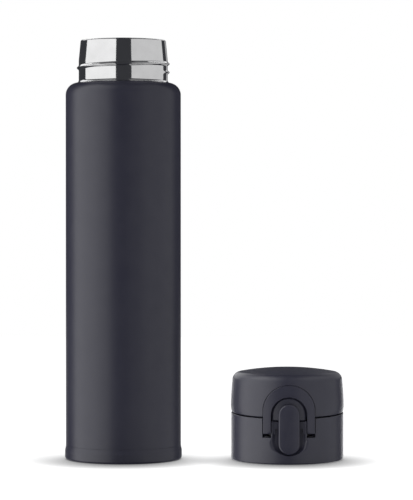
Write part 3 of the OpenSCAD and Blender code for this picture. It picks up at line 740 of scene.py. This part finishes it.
def vary_colour(material, source, dark, light):
    """Base colour that drifts between two colours."""
    nodes, links = material.node_tree.nodes, material.node_tree.links
    ramp = nodes.new("ShaderNodeValToRGB")
    ramp.color_ramp.elements[0].position = NOISE_LOW
    ramp.color_ramp.elements[1].position = NOISE_HIGH
    ramp.color_ramp.elements[0].color = (*dark, 1)
    ramp.color_ramp.elements[1].color = (*light, 1)
    links.new(source, ramp.inputs["Fac"])
    links.new(ramp.outputs["Color"], nodes["Principled BSDF"].inputs["Base Color"])


def vary_roughness(material, source, low, high):
    """Roughness that drifts between two values."""
    nodes, links = material.node_tree.nodes, material.node_tree.links
    spread = nodes.new("ShaderNodeMapRange")
    spread.inputs["From Min"].default_value = NOISE_LOW
    spread.inputs["From Max"].default_value = NOISE_HIGH
    spread.inputs["To Min"].default_value = low
    spread.inputs["To Max"].default_value = high
    links.new(source, spread.inputs["Value"])
    links.new(spread.outputs["Result"], nodes["Principled BSDF"].inputs["Roughness"])


def grain(material, source, height_mm, strength):
    """Bump of the surface's grain."""
    nodes, links = material.node_tree.nodes, material.node_tree.links
    bump = nodes.new("ShaderNodeBump")
    bump.inputs["Strength"].default_value = strength
    bump.inputs["Distance"].default_value = height_mm * MM
    links.new(source, bump.inputs["Height"])
    links.new(bump.outputs["Normal"], nodes["Principled BSDF"].inputs["Normal"])


def grey(level, warmth=0.0):
    """A near-neutral colour, a little blue where warmth is below zero."""
    return (level * (1 + warmth), level, level * (1 - warmth))


def slate(level):
    """Charcoal pigment, which is dark but for a little blue."""
    return (level, level, level + 0.0155)


def powder_coat():
    """Satin charcoal powder coat with its fine orange-peel texture."""
    m = principled("charcoal_powder_coat", IOR=1.62)
    vary_colour(m, noise(m, 9, detail=4), slate(0.0195), slate(0.0235))
    vary_roughness(m, noise(m, 3, detail=3), 0.33, 0.38)
    grain(m, noise(m, 0.35, detail=2), 0.02, 0.25)
    return m


def lid_plastic():
    """Satin moulded plastic in the same charcoal."""
    m = principled("charcoal_plastic", IOR=1.6)
    vary_colour(m, noise(m, 12, detail=4), slate(0.021), slate(0.0255))
    vary_roughness(m, noise(m, 2.5, detail=3), 0.34, 0.4)
    grain(m, noise(m, 0.22, detail=2), 0.012, 0.3)
    return m


def latch_plastic():
    m = principled("latch_plastic", IOR=1.58)
    vary_colour(m, noise(m, 6, detail=4), slate(0.0215), slate(0.026))
    vary_roughness(m, noise(m, 2, detail=3), 0.3, 0.37)
    grain(m, noise(m, 0.2, detail=2), 0.01, 0.25)
    return m


def inner_plastic():
    m = principled("inner_plastic", IOR=1.5)
    vary_colour(m, noise(m, 8, detail=3), grey(0.02, -0.03), grey(0.027, -0.02))
    vary_roughness(m, noise(m, 3, detail=3), 0.28, 0.4)
    grain(m, noise(m, 0.5, detail=2), 0.01, 0.15)
    return m


def silicone():
    m = principled("grey_silicone", IOR=1.41, Subsurface_Weight=0.2, Subsurface_Scale=0.002)
    vary_colour(m, noise(m, 5, detail=3), grey(0.36, -0.01), grey(0.44, -0.01))
    vary_roughness(m, noise(m, 1.5, detail=3), 0.45, 0.62)
    grain(m, noise(m, 0.4, detail=2), 0.015, 0.3)
    return m


def polished_steel():
    """Turned and polished steel, with faint lines that run round it."""
    m = principled("polished_steel", Metallic=1.0)
    vary_colour(m, noise(m, 6, detail=3), grey(0.7), grey(0.76))
    vary_roughness(m, noise(m, 6, stretch=(1, 1, 40), detail=4), 0.035, 0.085)
    grain(m, noise(m, 8, stretch=(1, 1, 90), detail=3), 0.01, 0.05)
    return m


def satin_steel():
    """Deep-drawn inner steel, with broader rings and more haze."""
    m = principled("satin_steel", Metallic=1.0)
    vary_colour(m, noise(m, 10, detail=3), grey(0.5), grey(0.62))
    vary_roughness(m, noise(m, 8, stretch=(1, 1, 30), detail=4), 0.2, 0.34)
    grain(m, noise(m, 8, stretch=(1, 1, 60), detail=3), 0.02, 0.12)
    return m


def spring_wire():
    m = principled("spring_wire", Metallic=1.0)
    vary_colour(m, noise(m, 1, detail=3), grey(0.42), grey(0.58))
    vary_roughness(m, noise(m, 0.4, detail=3), 0.2, 0.35)
    grain(m, noise(m, 0.2, detail=2), 0.005, 0.2)
    return m


def copper_foil():
    m = principled("copper_foil", Metallic=1.0)
    vary_colour(m, noise(m, 14, detail=4), (0.72, 0.33, 0.2), (0.86, 0.46, 0.31))
    vary_roughness(m, noise(m, 4, detail=3), 0.18, 0.32)
    grain(m, noise(m, 7, detail=4), 0.15, 0.4)
    return m


def getter_alloy():
    m = principled("getter_alloy", Metallic=0.6)
    vary_colour(m, noise(m, 0.6, detail=5), grey(0.09), grey(0.2))
    vary_roughness(m, noise(m, 0.5, detail=3), 0.6, 0.85)
    grain(m, noise(m, 0.3, detail=4), 0.06, 0.8)
    return m


def solder_glass():
    m = principled("solder_glass", IOR=1.6)
    vary_colour(m, noise(m, 1.5, detail=3), (0.16, 0.06, 0.025), (0.3, 0.14, 0.06))
    vary_roughness(m, noise(m, 1, detail=2), 0.1, 0.25)
    grain(m, noise(m, 1.2, detail=2), 0.05, 0.3)
    return m


# ---------------------------------------------------------------- the pieces

def make_materials():
    return {
        "body_paint": powder_coat(),
        "bare_steel": satin_steel(),
        "lid_plastic": lid_plastic(),
        "latch_plastic": latch_plastic(),
        "inner_plastic": inner_plastic(),
        "silicone": silicone(),
        "spring_steel": spring_wire(),
        "copper_foil": copper_foil(),
        "getter_alloy": getter_alloy(),
        "solder_glass": solder_glass(),
    }


def finish_cad_nodes(looks):
    """Gives every CAD node the material of its slot."""
    for node, piece in frame["nodes"].items():
        piece.data.materials.clear()
        piece.data.materials.append(looks[SLOT_OF[node]])
        piece.data.shade_smooth()
        piece.data.set_sharp_from_angle(angle=CREASE)


def make_flask(looks):
    place("painted_shell", painted_shell(), "outer_shell", "body_paint", looks["body_paint"])
    place("bare_neck", bare_neck(), "outer_shell", "bare_steel", polished_steel())
    place("base_cup_coated", base_cup(), "base_cup", "body_paint", looks["body_paint"])
    place("drawn_liner", inner_liner(), "inner_liner", "bare_steel", looks["bare_steel"])


def make_lid(looks):
    # node, field, step of the grid and share of the triangles that stay
    pieces = [
        ("lid_base", lid_base, 0.25, 0.16),
        ("flip_cap", flip_cap, 0.25, 0.16),
        ("lock_ring", lock_ring, 0.15, 0.3),
        ("push_button", push_button, 0.15, 0.3),
    ]
    for node, field, step, share in pieces:
        slot = SLOT_OF[node]
        place("moulded_" + node, moulded(field, node, step, share), node, slot, looks[slot])


# ---------------------------------------------------------------- studio

# Coat, bare steel and lid have softboxes of their own, so that flask and lid don't shade each other.
# A panel is a stretch of softbox seen from the object: where it starts and ends, in degrees round
# the object from the camera towards +X, how bright it looks, and its lower and upper edge.
PANEL_DISTANCE = 0.9
TALL = (-0.8, 2.2)
LEVEL = (-1.0, 0.62)
LOW = (-1.0, 0.03)
HIGH = (0.14, 0.75)
HIGHER = (0.5, 1.7)
PANELS = {
    "coat": [(-24, -50, 0.85, TALL), (-50, -80, 1.22, TALL), (-80, -112, 1.32, TALL), (12, 40, 0.2, TALL),
             (40, 80, 0.43, TALL), (80, 120, 0.43, TALL), (148, 170, 0.2, LOW), (-172, -150, 0.35, LOW)],
    "steel": [(-17, -112, 1.06, LEVEL), (23, 128, 0.67, LEVEL), (150, 165, 0.4, LEVEL),
              (-176, -125, 1.1, HIGHER), (125, 176, 0.65, HIGHER)],
    "lid": [(-24, -50, 0.98, TALL), (-50, -80, 1.4, TALL), (-80, -112, 1.5, TALL), (12, 40, 0.4, TALL),
            (40, 80, 0.5, TALL), (80, 120, 0.46, TALL), (148, 172, 1.8, LOW), (-172, -150, 1.6, LOW),
            (-172, -125, 1.3, HIGH), (125, 172, 0.4, HIGH)],
}
# Slanted panels overhead: distance from the object's middle in X, width and how bright it looks
CROWNS = {
    "coat": [],
    "steel": [(-0.55, 0.7, 0.12), (0.55, 0.7, 0.1)],
    "lid": [(-0.8, 0.9, 0.5), (0.8, 0.9, 0.25)],
}
CROWN_LENGTH = 1.8
CROWN_Z = 1.1
CROWN_AIM_Z = 0.15
TOP_PLACE = (0.04, -0.1, 1.3)
TOP_AIM = (0.04, 0, 0)
TOP_SIZE = 1.0
TOP_RADIANCE = 1.2
FLOOR_HALF = 1.2
# The floor's contact shadow is painted: ambient occlusion within SHADOW_REACH, raised to SHADOW_POWER and
# tilted towards SHADOW_FACING, dims the floor's glow
SHADOW_REACH = 0.024
SHADOW_POWER = 1.8
SHADOW_FACING = {"Y": 0.8, "Z": 0.6}  # what stands on this side of a spot darkens it most
DIM_WORLD = (0.045, 0.046, 0.052, 1)
WHITE = (1, 1, 1, 1)
CAMERA_PLACE = (0.0434, -1.24, 0.129)
CAMERA_AIM = (0.0434, 0, 0.109)
CAMERA_LENS = 171


def light_group(name, pieces):
    """Collection of pieces that a light can be limited to."""
    group = bpy.data.collections.new(name)
    for piece in pieces:
        group.objects.link(piece)
    return group


def area_light(name, place_m, target_m, width, height, radiance, group=None):
    """Rectangular softbox that looks as bright as radiance says, to one group of pieces or to all."""
    light = bpy.data.lights.new(name, "AREA")
    light.shape = "RECTANGLE"
    light.size = width
    light.size_y = height
    light.energy = radiance * math.pi * width * height
    lamp = bpy.data.objects.new(name, light)
    bpy.context.scene.collection.objects.link(lamp)
    lamp.location = place_m
    lamp.rotation_euler = (Vector(target_m) - Vector(place_m)).to_track_quat("-Z", "Y").to_euler()
    lamp.visible_camera = False
    if group:
        lamp.light_linking.receiver_collection = group
        lamp.light_linking.blocker_collection = group
    return lamp


def light_panel(name, group, middle_x, start, end, radiance, edges):
    """Upright panel that fills the stretch between two angles round the object."""
    a = math.radians((start + end) / 2)
    width = 2 * PANEL_DISTANCE * math.tan(math.radians(abs(end - start) / 2))
    foot = Vector((middle_x, 0, sum(edges) / 2))
    place_m = foot + PANEL_DISTANCE * Vector((math.sin(a), -math.cos(a), 0))
    area_light(name, place_m, foot, width, edges[1] - edges[0], radiance, group)


def light_crown(name, group, middle_x, offset, width, radiance):
    """Panel overhead at one side, slanted towards the object."""
    place_m, target_m = (middle_x + offset, 0, CROWN_Z), (middle_x, 0, CROWN_AIM_Z)
    area_light(name, place_m, target_m, CROWN_LENGTH, width, radiance, group)


def make_floor():
    """Plain white floor that glows evenly, with a painted contact shadow: its glow is dimmed by ambient
    occlusion close to what stands on it, most of all in front.
    """
    corners = [(-1, -1, 0), (1, -1, 0), (1, 1, 0), (-1, 1, 0)]
    points = FLOOR_HALF * np.array(corners)
    floor = bpy.data.objects.new("floor", new_mesh("floor", points, np.array([[0, 1, 2, 3]])))
    bpy.context.scene.collection.objects.link(floor)
    white = principled("white_floor", Base_Color=(0.5, 0.5, 0.5, 1), Roughness=1.0,
                       Specular_IOR_Level=0.0, Emission_Color=WHITE)
    nodes, links = white.node_tree.nodes, white.node_tree.links
    # Painted contact shadow: ambient occlusion sets how strongly the floor glows, so it is darker close
    # to what stands on it
    near = nodes.new("ShaderNodeAmbientOcclusion")
    near.inputs["Distance"].default_value = SHADOW_REACH
    near.samples = 16
    facing = nodes.new("ShaderNodeCombineXYZ")
    for socket, value in SHADOW_FACING.items():
        facing.inputs[socket].default_value = value
    links.new(facing.outputs["Vector"], near.inputs["Normal"])
    deepen = nodes.new("ShaderNodeMath")
    deepen.operation = "POWER"
    deepen.inputs[1].default_value = SHADOW_POWER
    links.new(near.outputs["AO"], deepen.inputs[0])
    links.new(deepen.outputs["Value"], nodes["Principled BSDF"].inputs["Emission Strength"])
    floor.data.materials.append(white)
    floor.visible_glossy = False


def make_world():
    """White to the camera, and dim to everything else."""
    world = bpy.data.worlds.new("studio")
    bpy.context.scene.world = world
    world.use_nodes = True
    nodes, links = world.node_tree.nodes, world.node_tree.links
    dim = nodes["Background"]
    dim.inputs["Color"].default_value = DIM_WORLD
    white = nodes.new("ShaderNodeBackground")
    white.inputs["Color"].default_value = WHITE
    which = nodes.new("ShaderNodeLightPath")
    mix = nodes.new("ShaderNodeMixShader")
    links.new(which.outputs["Is Camera Ray"], mix.inputs["Fac"])
    links.new(dim.outputs["Background"], mix.inputs[1])
    links.new(white.outputs["Background"], mix.inputs[2])
    links.new(mix.outputs["Shader"], nodes["World Output"].inputs["Surface"])


def light_groups():
    """Pieces that share softboxes: the flask's coat, the rest of the flask, and the lid."""
    members = {"coat": [], "steel": [], "lid": []}
    for piece in bpy.context.scene.objects:
        if piece.type == "MESH" and piece.name != "floor":
            middle_x = (piece.bound_box[0][0] + piece.bound_box[6][0]) / 2
            coated = piece.name in ("painted_shell", "base_cup_coated")
            name = "lid" if middle_x > LID_AXIS[0] * MM / 2 else "coat" if coated else "steel"
            members[name].append(piece)
    return members


def make_lights():
    for part, pieces in light_groups().items():
        group = light_group(part + "_lit", pieces)
        middle_x = LID_AXIS[0] * MM if part == "lid" else 0.0
        for panel in PANELS[part]:
            light_panel(part + "_panel", group, middle_x, *panel)
        for crown in CROWNS[part]:
            light_crown(part + "_crown", group, middle_x, *crown)
    top = area_light("top_softbox", TOP_PLACE, TOP_AIM, TOP_SIZE, TOP_SIZE, TOP_RADIANCE)
    top.visible_glossy = False


def make_camera():
    camera = bpy.data.objects.new("camera", bpy.data.cameras.new("camera"))
    bpy.context.scene.collection.objects.link(camera)
    camera.data.lens = CAMERA_LENS
    camera.data.sensor_width = 36
    camera.data.clip_start = 0.01
    camera.location = CAMERA_PLACE
    aim = Vector(CAMERA_AIM) - camera.location
    camera.rotation_euler = aim.to_track_quat("-Z", "Y").to_euler()
    bpy.context.scene.camera = camera


looks = make_materials()
finish_cad_nodes(looks)
make_flask(looks)
make_lid(looks)
make_floor()
make_world()
make_lights()
make_camera()
bpy.context.scene.view_settings.view_transform = "Standard"
